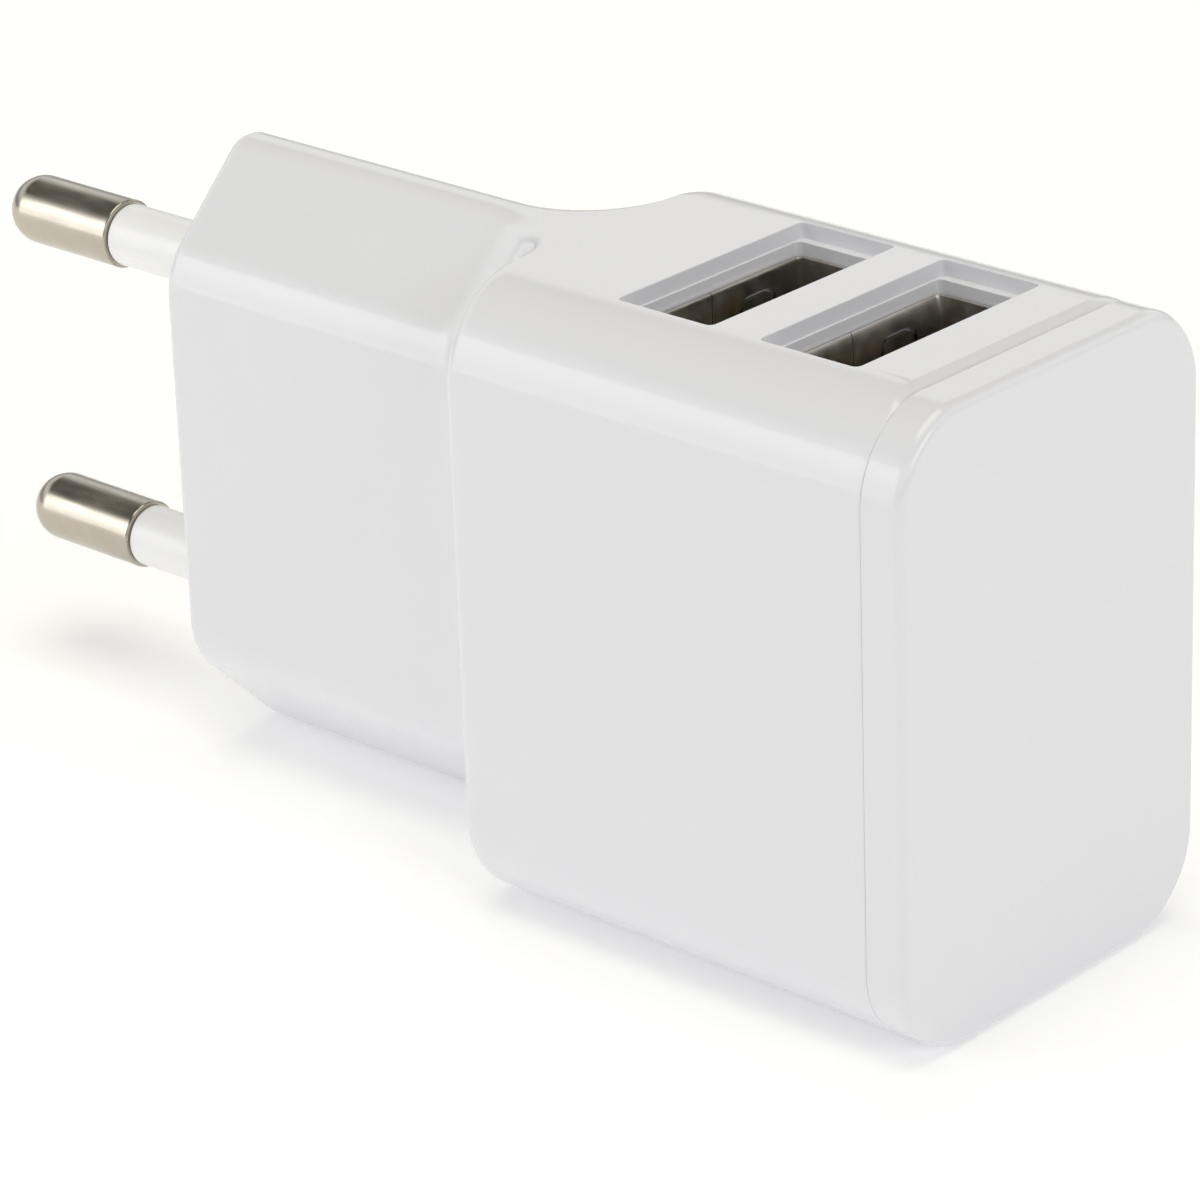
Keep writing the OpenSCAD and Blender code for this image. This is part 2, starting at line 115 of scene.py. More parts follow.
# Port openings in the housing
RECESS_X, RECESS_Y, RECESS_DEPTH = 6.1, 14.3, 0.85
RECESS_CORNER_R = 0.25
DRAFT = 0.1
RIM_R = 0.05
HOLE_RIM_R = 0.04
HOLE_GAP = 0.1
HOLE_CORNER_R = 0.3
COLLAR_WALL = 1.2
COLLAR_BOTTOM = 14.2
COLLAR_EXTRA_Y = 3.3
COLLAR_CORNER_R = 0.4
COLLAR_LAP = 0.3

# Pins and sleeves; the sleeve lies round the pin's thinner core
PIN_R = 2.0
PIN_CORE_R = 1.45
PIN_RIM_R = 0.12
PIN_STEP_LEN = 0.15
PIN_STEP_HEIGHT = 0.1
PIN_FLANGE_R = 2.5
PIN_FLANGE_LEN = 1
PIN_CHAMFER = 0.3
SLEEVE_BORE_R = 1.47
SLEEVE_EDGE_R = 0.22
SLEEVE_GAP = 0.03

# Port shells
SHELL_WALL = 0.3
SHELL_INNER_R = 0.25
SHELL_EDGE_DROP = 0.08
SHELL_EDGE_INSET = 0.1
MOUTH_RISE = 0.02
SHELL_1_LIP = (0.06, 0.2)
SHELL_2_LIP = (0.22, 1.3)
LEG_Y = 4.6
LEG_HALF_W = 0.6
LEG_TIP_SHARE = 0.5
LEG_TAPER_LEN = 0.5
LEG_LAP = 0.2
FINGER_Y, FINGER_W, FINGER_CUT = 2.9, 2.4, 0.25
FINGER_ROOT, FINGER_TOP = 7.2, 15.0
FINGER_R = 0.7
JOINT_Y, JOINT_W = -0.7, 0.06
JOINT_BOTTOM, JOINT_TOP = 8, 17
# Edges of the insulators and contacts inside the shells
INNER_EDGE_R = 0.05

# How far a tool reaches past what it cuts, and the least step between two rings
PAST = 1
HAIR = 0.01
AROUND = 96
# A face is square to an axis when its normal reaches this much of that axis
LEVEL = 0.99998


# ---- Mesh helpers -------------------------------------------------------------------
def arc(start, stop, step):
    """Even angles in radians from start to stop, which are in degrees, both included."""
    count = max(1, round(abs(stop - start) / step))
    return [math.radians(start + (stop - start) * i / count) for i in range(count + 1)]


def add_rings(bm, rings, closed_ends=True):
    """Joins equal closed rings of points with quads."""
    rows = [[bm.verts.new(p) for p in ring] for ring in rings]
    for a, b in zip(rows, rows[1:]):
        for i in range(len(a)):
            j = (i + 1) % len(a)
            bm.faces.new((a[i], a[j], b[j], b[i]))
    if closed_ends:
        bm.faces.new(list(reversed(rows[0])))
        bm.faces.new(rows[-1])
    return rows


def to_object(name, bm):
    """A scene object from a bmesh drawn in millimetres."""
    bmesh.ops.scale(bm, vec=(MM, MM, MM), verts=bm.verts)
    bmesh.ops.recalc_face_normals(bm, faces=bm.faces)
    mesh = bpy.data.meshes.new(name)
    bm.to_mesh(mesh)
    bm.free()
    thing = bpy.data.objects.new(name, mesh)
    bpy.context.collection.objects.link(thing)
    return thing


def ring_object(name, rings):
    bm = bmesh.new()
    add_rings(bm, rings)
    return to_object(name, bm)


def combine(thing, tool, operation):
    """Applies one boolean and removes the tool."""
    step = thing.modifiers.new("combine", "BOOLEAN")
    step.operation = operation
    step.object = tool
    step.solver = "EXACT"
    graph = bpy.context.evaluated_depsgraph_get()
    result = bpy.data.meshes.new_from_object(thing.evaluated_get(graph))
    thing.modifiers.clear()
    thing.data = result
    bpy.data.objects.remove(tool)


def soften(thing, angle=32):
    """Smooth shading, except at edges sharper than angle and on faces square to an axis."""
    bm = bmesh.new()
    bm.from_mesh(thing.data)
    bmesh.ops.remove_doubles(bm, verts=bm.verts, dist=1e-7)
    bmesh.ops.dissolve_degenerate(bm, edges=bm.edges, dist=1e-7)
    for face in bm.faces:
        face.smooth = max(abs(part) for part in face.normal) < LEVEL
    for edge in bm.edges:
        edge.smooth = len(edge.link_faces) == 2 and edge.calc_face_angle(0) < math.radians(angle)
    bm.to_mesh(thing.data)
    bm.free()
    weighted = thing.modifiers.new("weighted", "WEIGHTED_NORMAL")
    weighted.keep_sharp = True
    weighted.weight = 100


def show(thing, node, material, body="case"):
    """Puts a piece in place of a CAD node."""
    thing.data.materials.clear()
    thing.data.materials.append(material)
    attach(thing, body)
    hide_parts(node)


# ---- Outlines -----------------------------------------------------------------------
def octagon_arcs(w, h, flat, r_side, r_top):
    """A quarter of the neck's outline as two arcs: (y1, z1, r1, y2, z2, r2)."""
    t = w - (h - flat)
    k = math.tan(math.radians(22.5))
    return (w - r_side, flat - r_side * k, r_side, t - r_top * k, h - r_top, r_top)


def box_arcs(w, h, r):
    """A quarter of the body's outline, in the same form."""
    return (w - r, h - r - BODY_CORNER_FLAT, r, w - r - BODY_CORNER_FLAT, h - r, r)


def blend(a, b, share):
    return tuple(p + share * (q - p) for p, q in zip(a, b))


def shrunk(a, d):
    """An outline moved inwards by d."""
    return (a[0], a[1], a[2] - d, a[3], a[4], a[5] - d)


def outline(arcs):
    """The whole outline as (y, z) points: one quarter, mirrored round."""
    y1, z1, r1, y2, z2, r2 = arcs
    quarter = [(y1 + r1 * math.cos(t), z1 + r1 * math.sin(t)) for t in arc(0, 45, 5)]
    quarter += [(y2 + r2 * math.cos(t), z2 + r2 * math.sin(t)) for t in arc(45, 90, 5)]
    back = quarter[::-1]
    return (
        quarter
        + [(-y, z) for y, z in back]
        + [(-y, -z) for y, z in quarter]
        + [(y, -z) for y, z in back]
    )


def flare(x0, neck, body):
    """The neck opens into the body through a concave quarter turn and a small convex one."""
    stations = []
    for t in arc(0, 90, 6):
        share = FLARE_SHARE * (1 - math.cos(t))
        stations.append((x0 - FLARE_R + FLARE_R * math.sin(t), blend(neck, body, share)))
    for t in arc(0, 90, 15)[1:]:
        share = FLARE_SHARE + (1 - FLARE_SHARE) * math.sin(t)
        stations.append((x0 + FLARE_EDGE * (1 - math.cos(t)), blend(neck, body, share)))
    return stations


def top_share(y, z):
    """1 on the flat top, fading to 0 round the upper corners."""
    if z < HALF_H - BODY_R:
        return 0.0
    reach = max(0.0, abs(y) - (HALF_W - BODY_R)) / BODY_R
    return max(0.0, 1 - TOP_FADE * reach) ** TOP_FADE_POWER


def skin_rings(stations, drop=lambda x: 0.0):
    return [
        [(x, y, z - drop(x) * top_share(y, z)) for y, z in outline(arcs)]
        for x, arcs in stations
    ]


NECK_ARCS = octagon_arcs(NECK_HALF_W, HALF_H, NECK_FLAT, NECK_SIDE_R, NECK_TOP_R)
BODY_ARCS = box_arcs(HALF_W, HALF_H, BODY_R)
INNER_NECK_ARCS = octagon_arcs(
    NECK_HALF_W - WALL,
    HALF_H - WALL - NECK_TOP_EXTRA,
    NECK_FLAT - WALL * math.tan(math.radians(22.5)),
    NECK_SIDE_R - WALL,
    INNER_NECK_TOP_R,
)
INNER_BODY_ARCS = box_arcs(HALF_W - WALL, HALF_H - WALL, BODY_R - WALL)


def rounded_rect(cx, wx, wy, r, z):
    """A rounded rectangle in a level plane."""
    points = []
    for sx, sy, start in ((1, 1, 0), (-1, 1, 90), (-1, -1, 180), (1, -1, 270)):
        for t in arc(start, start + 90, 18):
            x = cx + sx * (wx / 2 - r) + r * math.cos(t)
            y = sy * (wy / 2 - r) + r * math.sin(t)
            points.append((x, y, z))
    return points


def port_mid(i):
    low, high = box_mm(f"port_shell_{i}")
    return (low.x + high.x) / 2


def shell_size():
    """Outer width of a port shell along X and along Y."""
    low, high = box_mm("port_shell_1")
    return high.x - low.x, high.y - low.y


# ---- Case ---------------------------------------------------------------------------
def port_cutter(i):
    """The stepped opening above a port shell, with its edges rounded."""
    cx = port_mid(i)
    wx, wy = shell_size()
    wx, wy = wx + 2 * HOLE_GAP, wy + 2 * HOLE_GAP
    ledge = HALF_H - RECESS_DEPTH
    rings = [rounded_rect(cx, wx, wy, HOLE_CORNER_R, COLLAR_BOTTOM - PAST)]
    for t in arc(180, 90, 22.5):
        grow = HOLE_RIM_R * (1 + math.cos(t))
        z = ledge + HOLE_RIM_R * (math.sin(t) - 1)
        rings.append(rounded_rect(cx, wx + 2 * grow, wy + 2 * grow, HOLE_CORNER_R + grow, z))
    rings.append(rounded_rect(cx, RECESS_X, RECESS_Y, RECESS_CORNER_R, ledge + HAIR))
    rim = [
        (DRAFT + RIM_R * (1 + math.cos(t)), HALF_H - RIM_R + RIM_R * math.sin(t))
        for t in arc(180, 90, 15)
    ]
    for grow, z in rim + [(DRAFT + RIM_R, HALF_H + PAST)]:
        rings.append(rounded_rect(cx, RECESS_X + 2 * grow, RECESS_Y + 2 * grow, RECESS_CORNER_R + grow, z))
    return ring_object("port_cutter", rings)


def circle(x, r, z):
    """A ring of radius r about a line along X at height z."""
    turns = [2 * math.pi * i / AROUND for i in range(AROUND)]
    return [(x, r * math.cos(t), z + r * math.sin(t)) for t in turns]


def make_housing(material):
    def drop(x):
        return ROLL_DROP * max(0.0, x - (SEAM_X - ROLL_LEN)) / ROLL_LEN

    stations = [
        (FACE_EDGE_R * (1 - math.cos(t)), shrunk(NECK_ARCS, FACE_EDGE_R * (1 - math.sin(t))))
        for t in arc(0, 90, 15)
    ]
    stations += flare(NECK_LEN, NECK_ARCS, BODY_ARCS)
    stations += [(SEAM_X - ROLL_LEN, BODY_ARCS), (SEAM_X - ROLL_LEN / 2, BODY_ARCS)]
    stations += [
        (SEAM_X - SEAM_EDGE_R * (1 - math.sin(t)), shrunk(BODY_ARCS, SEAM_EDGE_R * (1 - math.cos(t))))
        for t in arc(0, 90, 22.5)
    ]
    housing = ring_object("housing_skin", skin_rings(stations, drop))
    cavity = [(PLUG_WALL, INNER_NECK_ARCS)]
    cavity += flare(NECK_LEN + INNER_FLARE_SHIFT, INNER_NECK_ARCS, INNER_BODY_ARCS)
    cavity += [(SEAM_X + PAST, INNER_BODY_ARCS)]
    combine(housing, ring_object("cavity", skin_rings(cavity)), "DIFFERENCE")

    wx, wy = shell_size()
    x0, x1 = port_mid(1) - wx / 2 - COLLAR_WALL, port_mid(2) + wx / 2 + COLLAR_WALL
    collar = [
        rounded_rect((x0 + x1) / 2, x1 - x0, wy + COLLAR_EXTRA_Y, COLLAR_CORNER_R, z)
        for z in (COLLAR_BOTTOM, HALF_H - WALL + COLLAR_LAP)
    ]
    combine(housing, ring_object("collar", collar), "UNION")
    for i in (1, 2):
        combine(housing, port_cutter(i), "DIFFERENCE")
    for name in ("sleeve_upper", "sleeve_lower"):
        low, high = box_mm(name)
        r, z = (high.y - low.y) / 2 + SLEEVE_GAP, (low.z + high.z) / 2
        hole = [circle(-PAST, r, z), circle(PLUG_WALL + PAST, r, z)]
        combine(housing, ring_object("hole", hole), "DIFFERENCE")
    soften(housing, angle=50)
    show(housing, "housing", material)


def make_cap(material):
    stations = [
        (SEAM_X + SEAM_EDGE_R * (1 - math.cos(t)), shrunk(BODY_ARCS, SEAM_EDGE_R * (1 - math.sin(t))))
        for t in arc(0, 90, 22.5)
    ]
    stations += [
        (END_X - CAP_EDGE_R * (1 - math.sin(t)), shrunk(BODY_ARCS, CAP_EDGE_R * (1 - math.cos(t))))
        for t in arc(0, 90, 10)
    ]
    cap = ring_object("end_cap_skin", skin_rings(stations, lambda x: CAP_DROP))
    skirt_arcs = shrunk(INNER_BODY_ARCS, SKIRT_OUTER_GAP)
    skirt = skin_rings([(cap_low.x, skirt_arcs), (SEAM_X + SKIRT_LAP, skirt_arcs)])
    combine(cap, ring_object("skirt", skirt), "UNION")
    hollow_arcs = shrunk(INNER_BODY_ARCS, SKIRT_INNER_GAP)
    hollow = skin_rings([(cap_low.x - PAST, hollow_arcs), (END_X - WALL, hollow_arcs)])
    combine(cap, ring_object("hollow", hollow), "DIFFERENCE")
    soften(cap)
    show(cap, "end_cap", material)


# ---- Pins and sleeves ---------------------------------------------------------------
def lathe(name, profile, z):
    """Turns a profile of (x, r) points about a line along X at height z."""
    bm = bmesh.new()
    rows = add_rings(bm, [circle(x, r, z) for x, r in profile if r > 1e-6], closed_ends=False)
    for (x, r), row, order in ((profile[0], rows[0], 1), (profile[-1], rows[-1], -1)):
        if r < 1e-6:
            tip = bm.verts.new((x, 0, z))
            for i in range(AROUND):
                bm.faces.new((tip, row[i], row[(i + 1) % AROUND])[::order])
    bmesh.ops.remove_doubles(bm, verts=bm.verts, dist=1e-5)
    return to_object(name, bm)


def make_pin(name, material):
    low, high = box_mm(name)
    rim_x = box_mm(name.replace("pin", "sleeve"))[0].x
    z = (low.z + high.z) / 2
    flange_x = PLUG_WALL + PIN_FLANGE_LEN
    profile = [(low.x + PIN_R - PIN_R * math.cos(t), PIN_R * math.sin(t)) for t in arc(0, 90, 5)]
    profile += [
        (rim_x - PIN_RIM_R + PIN_RIM_R * math.sin(t), PIN_R - PIN_RIM_R + PIN_RIM_R * math.cos(t))
        for t in arc(0, 90, 22.5)
    ]
    profile += [(rim_x, PIN_CORE_R + PIN_STEP_HEIGHT), (rim_x - PIN_STEP_LEN, PIN_CORE_R)]
    profile += [(PLUG_WALL, PIN_CORE_R), (PLUG_WALL, PIN_FLANGE_R)]
    profile += [(flange_x, PIN_FLANGE_R), (flange_x, PIN_CORE_R)]
    profile += [(high.x - PIN_CHAMFER, PIN_CORE_R), (high.x, PIN_CORE_R - PIN_CHAMFER), (high.x, 0)]
    pin = lathe(name + "_plated", profile, z)
    soften(pin)
    show(pin, name, material)


def make_sleeve(name, material):
    low, high = box_mm(name)
    z = (low.z + high.z) / 2
    r = (high.y - low.y) / 2
    start = (low.x + HAIR, SLEEVE_BORE_R)
    edge = [
        (low.x + SLEEVE_EDGE_R * (1 - math.sin(t)), r - SLEEVE_EDGE_R + SLEEVE_EDGE_R * math.cos(t))
        for t in arc(90, 0, 18)
    ]
    profile = [start] + edge + [(high.x, r), (high.x, SLEEVE_BORE_R), start]
    sleeve = lathe(name + "_moulded", profile, z)
    soften(sleeve)
    show(sleeve, name, material)


# ---- Port shells --------------------------------------------------------------------
def make_shell(i, material, lip):
    """A folded sheet tube with spring fingers.

    lip is how far the mouth of the wall nearest the plug leans back, and over what depth.
    """
    low, high = box_mm(f"port_shell_{i}")
    cx, wx, wy = port_mid(i), high.x - low.x, high.y - low.y
    floor_z = box_mm("usb_board")[1].z
    outer_r = SHELL_INNER_R + SHELL_WALL
    rings = [
        rounded_rect(cx, wx, wy, outer_r, floor_z),
        rounded_rect(cx, wx, wy, outer_r, high.z - SHELL_EDGE_DROP),
        rounded_rect(cx, wx - SHELL_EDGE_INSET, wy - SHELL_EDGE_INSET, outer_r, high.z),
    ]
    shell = ring_object(f"port_shell_{i}_sheet", rings)

    def inner_ring(z):
        return rounded_rect(cx, wx - 2 * SHELL_WALL, wy - 2 * SHELL_WALL, SHELL_INNER_R, z)

    lip_grow, lip_depth = lip
    mouth = []
    for t in arc(0, 90, 10):
        ring = inner_ring(high.z + MOUTH_RISE - lip_depth * (1 - math.sin(t)))
        grow = lip_grow * (1 - math.cos(t))
        mouth.append([(x - grow if x < cx else x, y, z) for x, y, z in ring])
    above = [(x, y, high.z + PAST) for x, y, _ in mouth[-1]]
    combine(shell, ring_object("inside", [inner_ring(floor_z - PAST)] + mouth + [above]), "DIFFERENCE")
    for y in (-FINGER_Y, FINGER_Y):
        combine(shell, finger_gap(cx, wx, y), "DIFFERENCE")
    combine(shell, seam_gap(cx, wx), "DIFFERENCE")
    for sx in (-1, 1):
        for sy in (-1, 1):
            leg = shell_leg(cx + sx * (wx / 2 - SHELL_WALL / 2), sy * LEG_Y, low.z, floor_z + LEG_LAP)
            combine(shell, ring_object("leg", leg), "UNION")
    soften(shell, angle=25)
    show(shell, f"port_shell_{i}", material)


def shell_leg(x, y, bottom, top):
    """Rings of a leg that goes through the board, narrower at its tip."""
    corners = ((-1, -1), (1, -1), (1, 1), (-1, 1))
    levels = ((bottom, LEG_TIP_SHARE), (bottom + LEG_TAPER_LEN, 1), (top, 1))
    return [
        [(x + dx * SHELL_WALL / 2, y + dy * LEG_HALF_W * narrow, z) for dx, dy in corners]
        for z, narrow in levels
    ]


def finger_gap(cx, wx, y):
    """The U-shaped gap round a spring finger, through both wide walls."""
    outer = (FINGER_W / 2 + FINGER_CUT, FINGER_TOP, FINGER_R)
    inner = (FINGER_W / 2, FINGER_TOP - FINGER_CUT, FINGER_R - FINGER_CUT)
    path = []
    for half, top, r in (outer, inner):
        side = [(y - half, FINGER_ROOT)]
        side += [(y - half + r + r * math.cos(t), top - r + r * math.sin(t)) for t in arc(180, 90, 15)]
        side += [(y + half - r + r * math.cos(t), top - r + r * math.sin(t)) for t in arc(90, 0, 15)]
        side += [(y + half, FINGER_ROOT)]
        path += side if not path else side[::-1]
    return ring_object("finger_gap", [[(x, v, z) for v, z in path] for x in (cx - wx, cx + wx)])


def seam_gap(cx, wx):
    """The butt joint where the sheet's two ends meet, in the wall nearest the plug."""
    edge = ((-1, JOINT_BOTTOM), (1, JOINT_BOTTOM), (1, JOINT_TOP), (-1, JOINT_TOP))
    x0, x1 = cx - wx, cx - wx / 2 + SHELL_WALL * 1.5
    return ring_object("seam_gap", [[(x, JOINT_Y + s * JOINT_W / 2, z) for s, z in edge] for x in (x0, x1)])


# ---- Materials ----------------------------------------------------------------------
class Look:
    """A node material with one Principled shader and helpers for procedural detail."""

    def __init__(self, name, **values):
        self.material = bpy.data.materials.new(name)
        self.material.use_nodes = True
        self.tree = self.material.node_tree
        self.shader = self.tree.nodes["Principled BSDF"]
        self.coords = self.add("ShaderNodeTexCoord").outputs["Object"]
        for socket, value in values.items():
            self.shader.inputs[socket.replace("_", " ")].default_value = value

    def add(self, kind, **values):
        node = self.tree.nodes.new(kind)
        for key, value in values.items():
            setattr(node, key, value)
        return node

    def link(self, a, b):
        self.tree.links.new(a, b)

    def noise(self, scale, detail=3.0, stretch=(1, 1, 1)):
        mapping = self.add("ShaderNodeMapping")
        mapping.inputs["Scale"].default_value = stretch
        self.link(self.coords, mapping.inputs["Vector"])
        noise = self.add("ShaderNodeTexNoise")
        noise.inputs["Scale"].default_value = scale
        noise.inputs["Detail"].default_value = detail
        self.link(mapping.outputs["Vector"], noise.inputs["Vector"])
        return noise.outputs["Fac"]

    def ramp(self, fac, low, high, start=0.3, stop=0.7):
        ramp = self.add("ShaderNodeValToRGB")
        ramp.color_ramp.elements[0].position = start
        ramp.color_ramp.elements[1].position = stop
        ramp.color_ramp.elements[0].color = (*low, 1)
        ramp.color_ramp.elements[1].color = (*high, 1)
        self.link(fac, ramp.inputs["Fac"])
        return ramp.outputs["Color"]

    def colour(self, fac, low, high, **span):
        self.link(self.ramp(fac, low, high, **span), self.shader.inputs["Base Color"])

    def roughness(self, fac, low, high, **span):
        self.link(self.ramp(fac, (low,) * 3, (high,) * 3, **span), self.shader.inputs["Roughness"])

    def bump(self, fac, depth, strength=1.0):
        bump = self.add("ShaderNodeBump")
        bump.inputs["Distance"].default_value = depth
        bump.inputs["Strength"].default_value = strength
        self.link(fac, bump.inputs["Height"])
        self.link(bump.outputs["Normal"], self.shader.inputs["Normal"])


def white_case():
    look = Look("white_case", IOR=1.5)
    look.colour(look.noise(60), (0.755, 0.755, 0.788), (0.765, 0.765, 0.798))
    look.roughness(look.noise(45, 2), 0.09, 0.11)
    look.bump(look.noise(2400, 3), 0.0000003)
    return look.material


def white_sleeve():
    look = Look("white_sleeve", IOR=1.5)
    look.colour(look.noise(120), (0.87, 0.87, 0.875), (0.88, 0.88, 0.885))
    look.roughness(look.noise(60, 2, (0.2, 1, 1)), 0.26, 0.29)
    look.bump(look.noise(2500, 3, (0.1, 1, 1)), 0.0000005)
    return look.material


def nickel_pin():
    look = Look("nickel_pin", Metallic=1.0)
    look.colour(look.noise(250, 4), (0.45, 0.415, 0.35), (0.53, 0.49, 0.42))
    look.roughness(look.noise(1400, 5, (0.25, 1, 1)), 0.16, 0.30)
    look.bump(look.noise(3200, 4, (0.12, 1, 1)), 0.000006, 0.5)
    return look.material


def shell_steel():
    look = Look("shell_steel", Metallic=1.0)
    look.colour(look.noise(300, 4), (0.48, 0.455, 0.41), (0.62, 0.59, 0.53))
    look.roughness(look.noise(900, 4), 0.30, 0.48)
    look.bump(look.noise(2600, 4), 0.000006, 0.5)
    return look.material


def plain(name, low, high, rough=(0.45, 0.6), scale=400, grain=2500, depth=0.000008, metallic=0.0):
    """A plainly moulded, coated or plated surface."""
    look = Look(name, Metallic=metallic)
    look.colour(look.noise(scale, 4), low, high)
    look.roughness(look.noise(scale * 2, 3), *rough)
    look.bump(look.noise(grain, 3), depth, 0.6)
    return look.material


def copper_wire():
    """Fine turns of wire wound about X, with painted shade in the grooves between the turns."""
    look = Look("copper_wire", Metallic=0.7)
    wave = look.add("ShaderNodeTexWave", wave_type="BANDS", bands_direction="X")
    wave.inputs["Scale"].default_value = 1100
    wave.inputs["Distortion"].default_value = 0.6
    look.link(look.coords, wave.inputs["Vector"])
    # The bands follow the turns; the colour darkens towards the low grooves between them, which is painted
    # shade
    look.colour(wave.outputs["Fac"], (0.30, 0.10, 0.03), (0.72, 0.34, 0.12))
    look.roughness(look.noise(700, 3), 0.25, 0.4)
    look.bump(wave.outputs["Fac"], 0.00005, 0.8)
    return look.material


def board_green():
    """Solder mask over faint tracks."""
    look = Look("board", IOR=1.5)
    brick = look.add("ShaderNodeTexBrick")
    brick.inputs["Scale"].default_value = 260
    brick.inputs["Mortar Size"].default_value = 0.12
    brick.inputs["Color1"].default_value = (0.012, 0.11, 0.035, 1)
    brick.inputs["Color2"].default_value = (0.016, 0.14, 0.045, 1)
    brick.inputs["Mortar"].default_value = (0.03, 0.22, 0.08, 1)
    look.link(look.coords, brick.inputs["Vector"])
    look.link(brick.outputs["Color"], look.shader.inputs["Base Color"])
    look.roughness(look.noise(500, 3), 0.28, 0.42)
    look.bump(look.noise(1500, 3), 0.00001, 0.5)
    return look.material


def make_materials():
    dark = (0.012, 0.012, 0.013)
    return {
        "white_case": white_case(),
        "white_sleeve": white_sleeve(),
        "nickel_pin": nickel_pin(),
        "shell_steel": shell_steel(),
        "copper_wire": copper_wire(),
        "board": board_green(),
        "black_plastic": plain("black_plastic", dark, (0.024, 0.024, 0.026), (0.35, 0.5)),
        "ivory_plastic": plain("ivory_plastic", (0.70, 0.68, 0.60), (0.76, 0.74, 0.67)),
        "brown_wire": plain("brown_wire", (0.10, 0.035, 0.015), (0.14, 0.05, 0.02), (0.3, 0.45)),
        "blue_wire": plain("blue_wire", (0.02, 0.09, 0.30), (0.03, 0.12, 0.36), (0.3, 0.45)),
        "contact_metal": plain(
            "contact_metal", (0.72, 0.50, 0.20), (0.80, 0.58, 0.26), (0.18, 0.3), metallic=1.0
        ),
        "ferrite": plain(
            "ferrite", (0.020, 0.020, 0.022), (0.040, 0.040, 0.043), (0.5, 0.75), depth=0.00002
        ),
        "yellow_tape": plain("yellow_tape", (0.72, 0.46, 0.03), (0.80, 0.54, 0.05), (0.15, 0.3)),
        "tinned_metal": plain(
            "tinned_metal", (0.60, 0.61, 0.62), (0.72, 0.73, 0.74), (0.2, 0.35), metallic=1.0
        ),
        "capacitor_can": plain("capacitor_can", (0.010, 0.012, 0.035), (0.016, 0.02, 0.05), (0.2, 0.3)),
        "blue_ceramic": plain("blue_ceramic", (0.02, 0.07, 0.34), (0.03, 0.10, 0.42), (0.15, 0.3)),
        "green_lacquer": plain("green_lacquer", (0.10, 0.28, 0.10), (0.14, 0.34, 0.14), (0.2, 0.35)),
        "tan_ceramic": plain("tan_ceramic", (0.38, 0.25, 0.12), (0.46, 0.31, 0.16)),
        "clear_film": plain("clear_film", (0.62, 0.58, 0.38), (0.70, 0.66, 0.46), (0.1, 0.2)),
    }


# ---- Studio -------------------------------------------------------------------------
# Degrees, then millimetres; the lens is a multiple of the picture's width
CAMERA_YAW, CAMERA_PITCH, CAMERA_ROLL = 47.0, 23.61, -2.04
CAMERA_PLACE = (204.54, -191.82, 110.76)
LENS_IN_FRAMES = 4.43
SENSOR = 36.0
FLOOR_GLOW = 0.22
# Half the side in millimetres, and in metres how far the floor is below the charger
FLOOR_HALF_SIZE = 2500
FLOOR_GAP = 0.00005
# Name, place and size in metres, radiance and colour
LAMPS = (
    ("overhead", (0.02, 0, 1.0), (0.8, 0.8), 1.7, (1, 0.985, 0.87)),
    ("front_left", (-0.32, -0.38, 0.12), (0.34, 0.30), 1.7, (1, 1, 1)),
    ("right", (0.50, -0.05, 0.22), (0.30, 0.20), 2.2, (1, 1, 1)),
)
LAMP_TARGET = (0.02, 0, 0)
# Sine of the elevation and the colour there
TENT = (
    (0.0, (0.22, 0.22, 0.24)),
    (0.16, (0.40, 0.40, 0.43)),
    (0.28, (1.0, 1.0, 1.01)),
    (0.50, (1.0, 1.0, 0.99)),
    (0.60, (0.14, 0.137, 0.125)),
    (0.86, (0.14, 0.137, 0.125)),
    (0.93, (1.0, 0.98, 0.88)),
)
TENT_STRENGTH = 1.0


def make_camera():
    """Yaw is the angle from -X towards +Y that the camera looks along, and pitch is downwards."""
    data = bpy.data.cameras.new("camera")
    data.sensor_width = SENSOR
    data.lens = LENS_IN_FRAMES * SENSOR
    data.clip_start, data.clip_end = 0.01, 10
    camera = bpy.data.objects.new("camera", data)
    bpy.context.collection.objects.link(camera)
    yaw, pitch = math.radians(CAMERA_YAW), math.radians(CAMERA_PITCH)
    look = Vector((-math.cos(yaw) * math.cos(pitch), math.sin(yaw) * math.cos(pitch), -math.sin(pitch)))
    turn = look.to_track_quat("-Z", "Y").to_matrix()
    roll = Matrix.Rotation(math.radians(CAMERA_ROLL), 3, "Z")
    camera.matrix_world = Matrix.Translation(Vector(CAMERA_PLACE) * MM) @ (turn @ roll).to_4x4()
    bpy.context.scene.camera = camera


def make_floor():
    """A white table that glows a little, so that its far side stays white."""
    bm = bmesh.new()
    bmesh.ops.create_grid(bm, x_segments=8, y_segments=8, size=FLOOR_HALF_SIZE)
    floor = to_object("floor", bm)
    floor.location.z = cad_low.z - FLOOR_GAP
    look = Look("floor", Roughness=0.9, Specular_IOR_Level=0.0)
    look.colour(look.noise(8), (0.91, 0.91, 0.91), (0.92, 0.92, 0.92))
    look.shader.inputs["Emission Color"].default_value = (1, 1, 1, 1)
    look.shader.inputs["Emission Strength"].default_value = FLOOR_GLOW
    floor.data.materials.append(look.material)


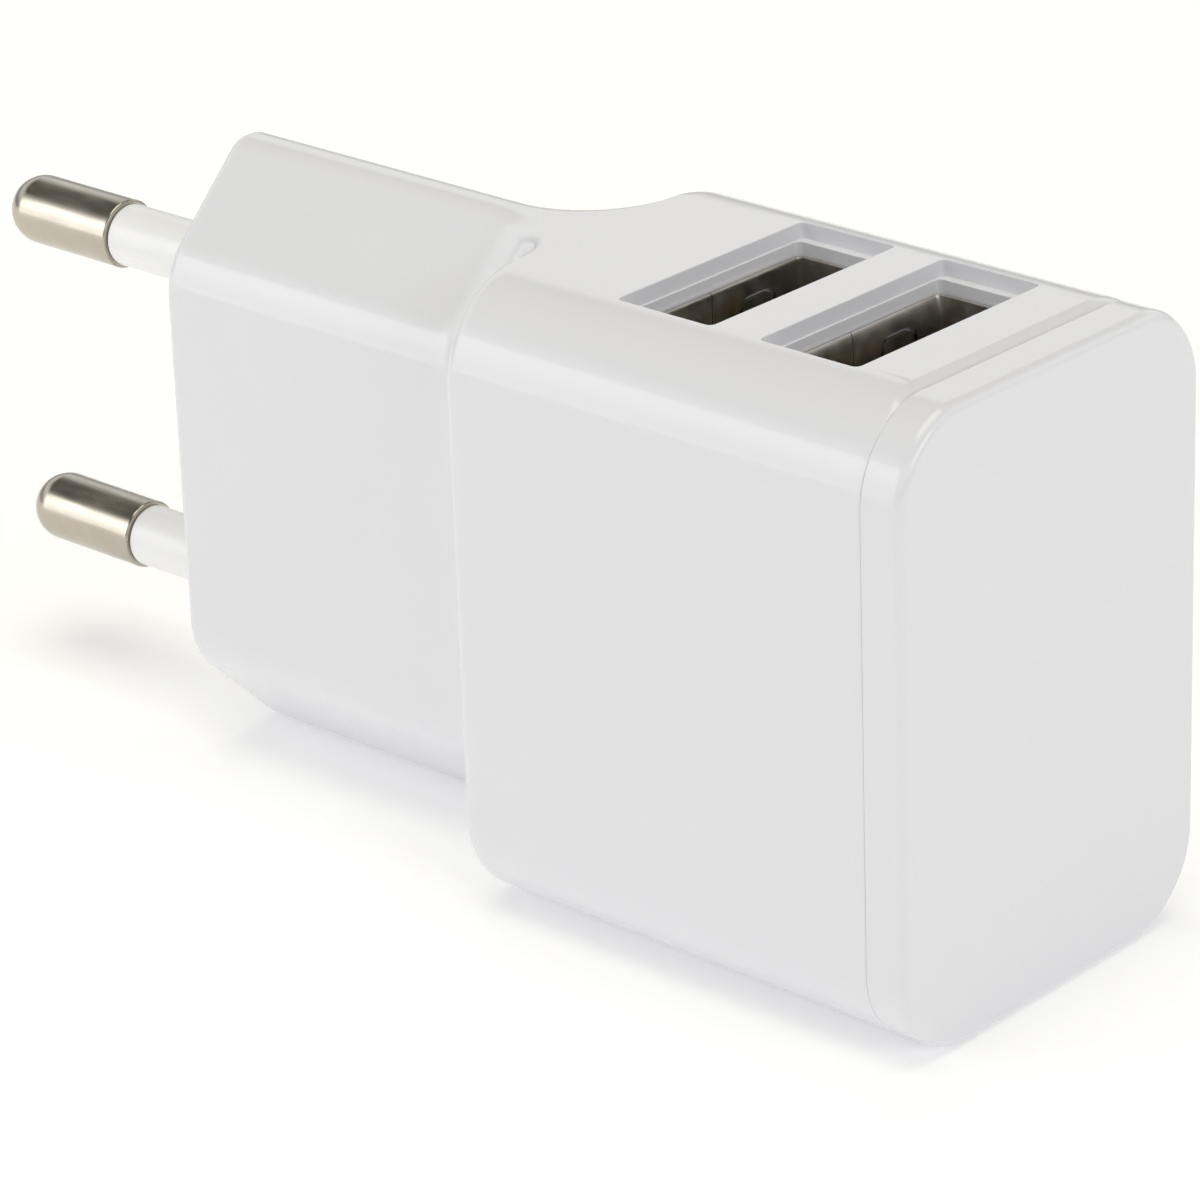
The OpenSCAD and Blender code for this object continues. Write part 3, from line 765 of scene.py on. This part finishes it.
def make_lamp(name, place, size, radiance, colour):
    """A soft box in metres that faces the charger and shines with an even radiance."""
    data = bpy.data.lights.new(name, "AREA")
    data.shape = "RECTANGLE"
    data.size, data.size_y = size
    data.energy = radiance * math.pi * size[0] * size[1]
    data.color = colour
    lamp = bpy.data.objects.new(name, data)
    bpy.context.collection.objects.link(lamp)
    lamp.location = place
    lamp.rotation_mode = "QUATERNION"
    lamp.rotation_quaternion = (Vector(LAMP_TARGET) - Vector(place)).to_track_quat("-Z", "Y")


def make_world():
    """A light tent: dim at table level, bright walls, a dim band above and a bright, warmer top."""
    world = bpy.data.worlds.new("tent")
    world.use_nodes = True
    tree = world.node_tree
    coords = tree.nodes.new("ShaderNodeTexCoord")
    split = tree.nodes.new("ShaderNodeSeparateXYZ")
    ramp = tree.nodes.new("ShaderNodeValToRGB")
    tree.links.new(coords.outputs["Generated"], split.inputs["Vector"])
    tree.links.new(split.outputs["Z"], ramp.inputs["Fac"])
    elements = ramp.color_ramp.elements
    while len(elements) < len(TENT):
        elements.new(0.5)
    for element, (place, colour) in zip(elements, TENT):
        element.position = place
        element.color = (*colour, 1)
    back = tree.nodes["Background"]
    tree.links.new(ramp.outputs["Color"], back.inputs["Color"])
    back.inputs["Strength"].default_value = TENT_STRENGTH
    bpy.context.scene.world = world


def dress_frame(looks):
    """Gives every CAD node its slot's material, and rounds the edges seen inside the ports."""
    slots = {part["node"]: part["material_slot"] for part in frame["record"]["subparts"]}
    for name, node in frame["nodes"].items():
        node.data.materials.clear()
        node.data.materials.append(looks[slots[name]])
        if name.startswith(("port_insulator", "contact")):
            edges = node.modifiers.new("edges", "BEVEL")
            edges.width = INNER_EDGE_R * MM
            edges.segments = 2
            edges.limit_method = "ANGLE"


def main():
    make_camera()
    make_floor()
    make_world()
    for lamp in LAMPS:
        make_lamp(*lamp)
    bpy.context.scene.view_settings.view_transform = "Standard"
    looks = make_materials()
    dress_frame(looks)
    make_housing(looks["white_case"])
    make_cap(looks["white_case"])
    for end in ("upper", "lower"):
        make_pin(f"pin_{end}", looks["nickel_pin"])
        make_sleeve(f"sleeve_{end}", looks["white_sleeve"])
    make_shell(1, looks["shell_steel"], SHELL_1_LIP)
    make_shell(2, looks["shell_steel"], SHELL_2_LIP)


main()
